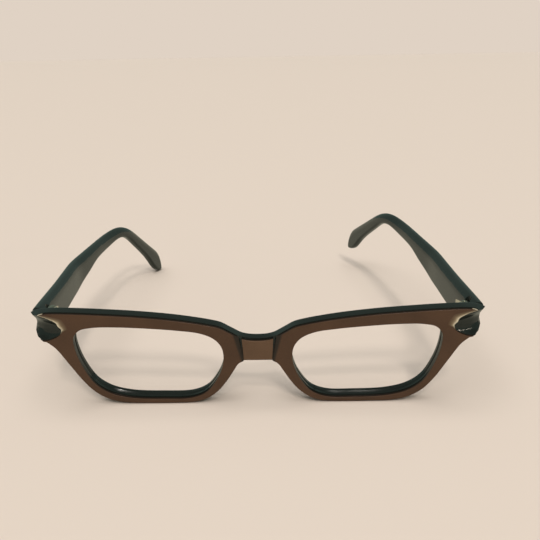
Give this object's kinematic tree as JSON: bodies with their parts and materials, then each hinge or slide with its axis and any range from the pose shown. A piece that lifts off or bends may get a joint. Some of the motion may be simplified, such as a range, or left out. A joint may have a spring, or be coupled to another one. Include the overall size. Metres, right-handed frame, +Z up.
{
  "type": "spectacle frame",
  "caption": "Cat eye spectacle frame in laminated acetate: a dark base with a pearl brown face, scooped endpieces, V-grooved bridge, cored temples on sunk barrel hinges, without lenses.",
  "frame": {"origin": "middle of the open frame's box across and front to back, at the height of the table under the two lower rims and the left temple's tip", "axes": "+X across the frame to the right of someone who looks at its front, +Y from the front back along the temples, +Z up"},
  "size_m": [0.1394, 0.1442, 0.0368],
  "materials": {
    "dark_acetate": "polished, green black",
    "pearl_brown_acetate": "satin polished pearl, brown",
    "bridge_pearl_acetate": "satin polished pearl, lighter brown",
    "nickel_silver": "polished nickel silver",
    "core_wire": "drawn nickel silver wire"
  },
  "bodies": {
    "front": {"front_base": "dark_acetate", "left_face": "pearl_brown_acetate", "right_face": "pearl_brown_acetate", "bridge_face": "bridge_pearl_acetate", "left_nose_pad": "dark_acetate", "right_nose_pad": "dark_acetate", "left_front_hinge_leaf": "nickel_silver", "right_front_hinge_leaf": "nickel_silver", "left_hinge_screw": "nickel_silver", "right_hinge_screw": "nickel_silver"},
    "left_side": {"left_temple": "dark_acetate", "left_temple_core": "core_wire", "left_temple_hinge_leaf": "nickel_silver"},
    "right_side": {"right_temple": "dark_acetate", "right_temple_core": "core_wire", "right_temple_hinge_leaf": "nickel_silver"}
  },
  "joints": [
    {"name": "left_temple_fold", "type": "hinge", "parent": "front", "child": "left_side", "pos_m": [-0.06231, -0.06244, 0.02695], "axis": [0, 0, -1], "range_deg": [0, 80]},
    {"name": "right_temple_fold", "type": "hinge", "parent": "front", "child": "right_side", "pos_m": [0.06529, -0.06244, 0.02695], "axis": [0, 0, 1], "range_deg": [0, 82.6]}
  ]
}
